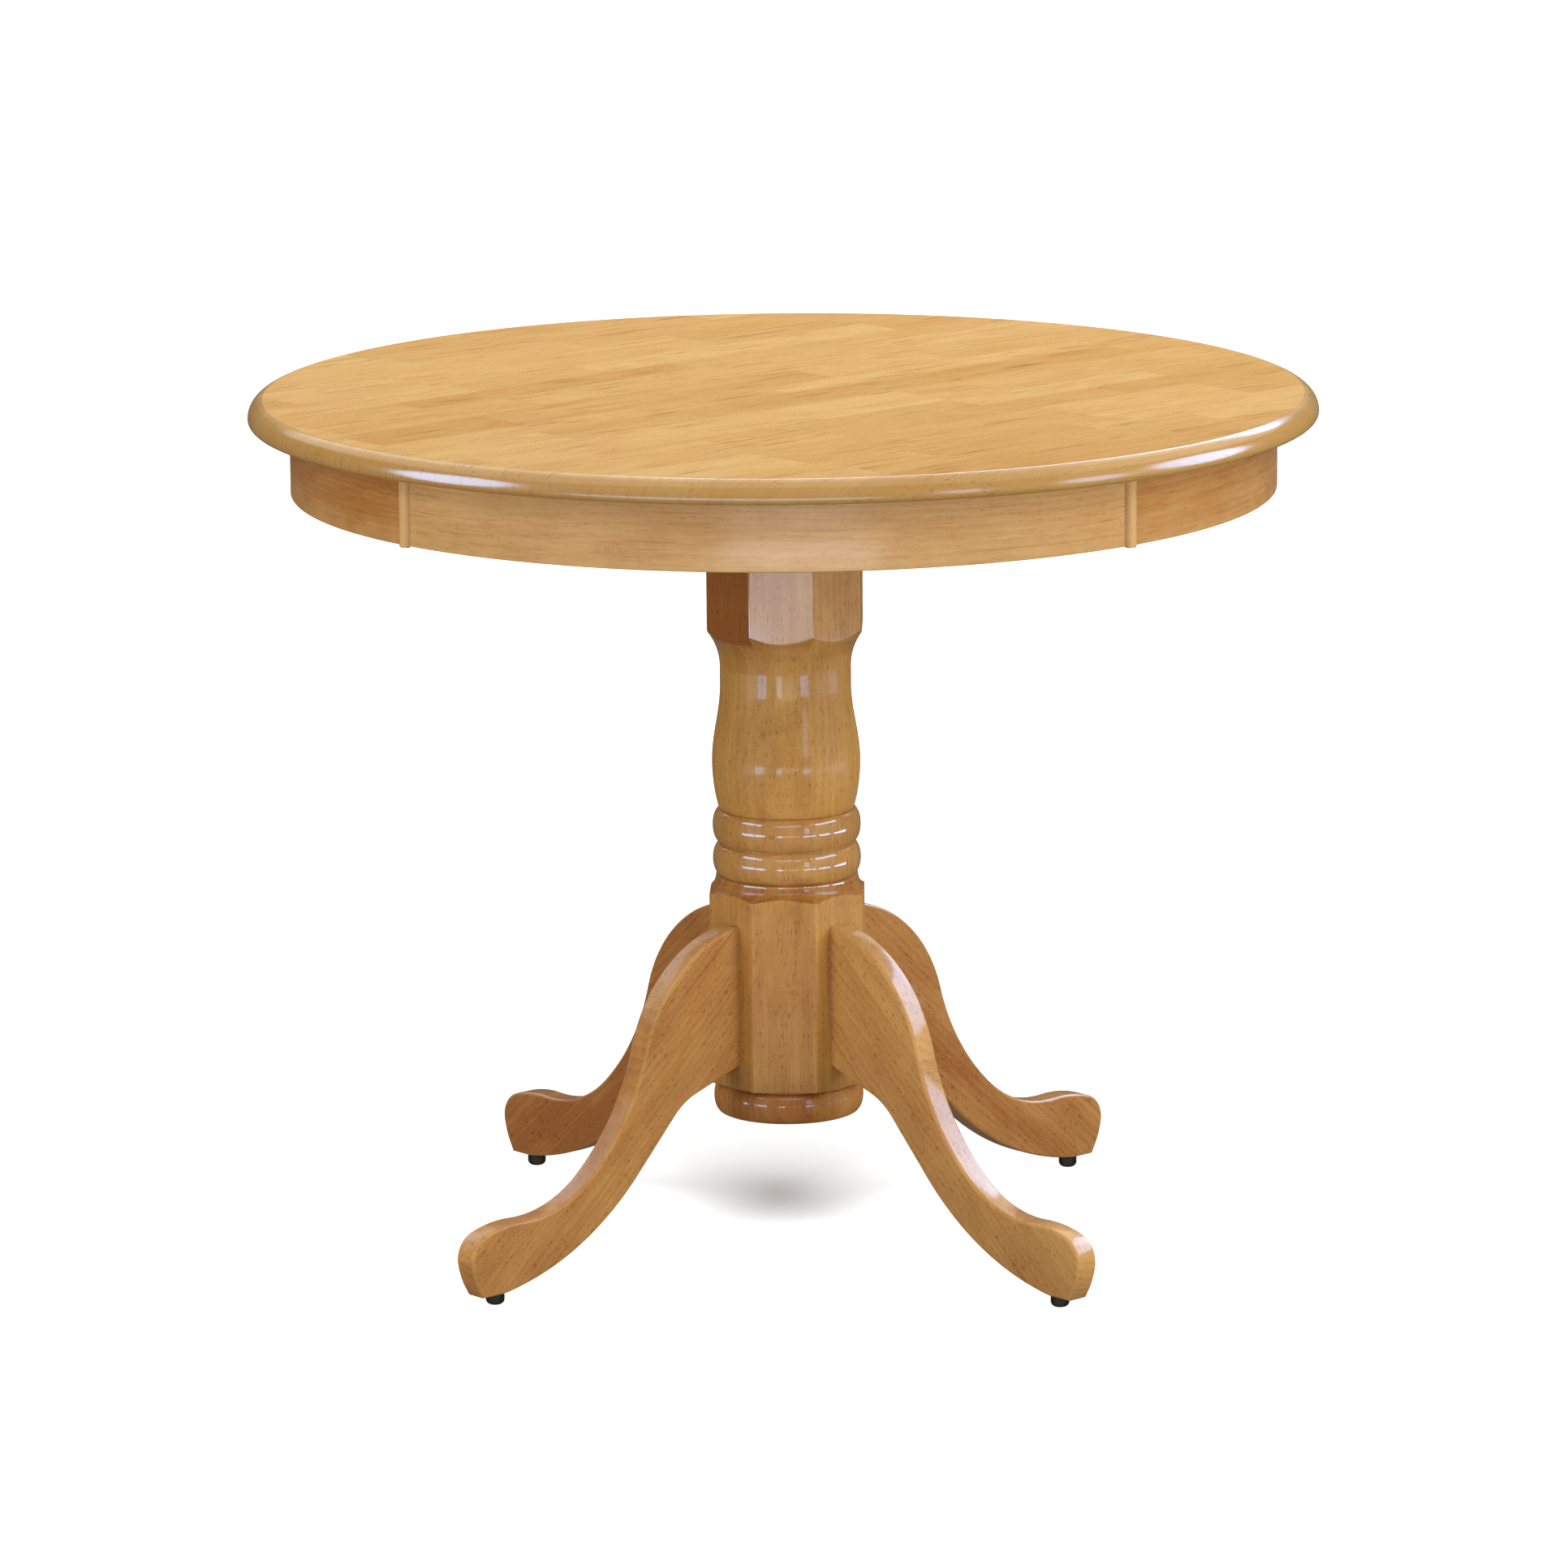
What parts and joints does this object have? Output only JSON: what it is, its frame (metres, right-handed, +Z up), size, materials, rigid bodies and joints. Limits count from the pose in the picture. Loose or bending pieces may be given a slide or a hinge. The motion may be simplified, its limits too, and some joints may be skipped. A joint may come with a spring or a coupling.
{
  "type": "round pedestal table",
  "caption": "Round wooden dining table: rounded-rim top, apron ring with half-round joint strips, turned octagonal hollow column, curved board legs on plastic glides.",
  "frame": {"origin": "on the floor under the centre line of the column and top", "axes": "+Z up, -Y towards the front, +X to the right; the four legs point along the diagonals"},
  "size_m": [0.9139, 0.914, 0.742],
  "materials": {
    "top_wood": "edge-glued light honey hardwood under clear gloss lacquer",
    "apron_wood": "honey hardwood under clear gloss lacquer",
    "column_wood": "golden-brown hardwood staves under clear gloss lacquer",
    "leg_wood": "golden-brown hardwood boards with dark pores under clear gloss lacquer",
    "hidden_wood": "unfinished pale hardwood",
    "zinc_steel": "zinc-plated steel",
    "insert_brass": "plain brass",
    "black_plastic": "black glossy plastic"
  },
  "bodies": {
    "root": {"table_top": "top_wood", "apron_front": "apron_wood", "apron_right": "apron_wood", "apron_back": "apron_wood", "apron_left": "apron_wood", "apron_bead_front_left": "apron_wood", "apron_bead_front_right": "apron_wood", "apron_bead_back_right": "apron_wood", "apron_bead_back_left": "apron_wood", "apron_block_front_left": "hidden_wood", "apron_block_front_right": "hidden_wood", "apron_block_back_right": "hidden_wood", "apron_block_back_left": "hidden_wood", "apron_screws": "zinc_steel", "mounting_plate": "hidden_wood", "plate_inserts": "insert_brass", "plate_bolts": "zinc_steel", "plate_washers": "zinc_steel", "plate_screws": "zinc_steel", "column_head_block": "hidden_wood", "column_stave_front": "column_wood", "column_stave_front_right": "column_wood", "column_stave_right": "column_wood", "column_stave_back_right": "column_wood", "column_stave_back": "column_wood", "column_stave_back_left": "column_wood", "column_stave_left": "column_wood", "column_stave_front_left": "column_wood", "leg_front_left": "leg_wood", "leg_front_right": "leg_wood", "leg_back_right": "leg_wood", "leg_back_left": "leg_wood", "leg_hanger_bolts": "zinc_steel", "leg_washers": "zinc_steel", "leg_spring_washers": "zinc_steel", "leg_nuts": "zinc_steel", "leg_dowels": "hidden_wood", "glide_front_left": "black_plastic", "glide_front_right": "black_plastic", "glide_back_right": "black_plastic", "glide_back_left": "black_plastic", "glide_nails": "zinc_steel"}
  },
  "joints": []
}
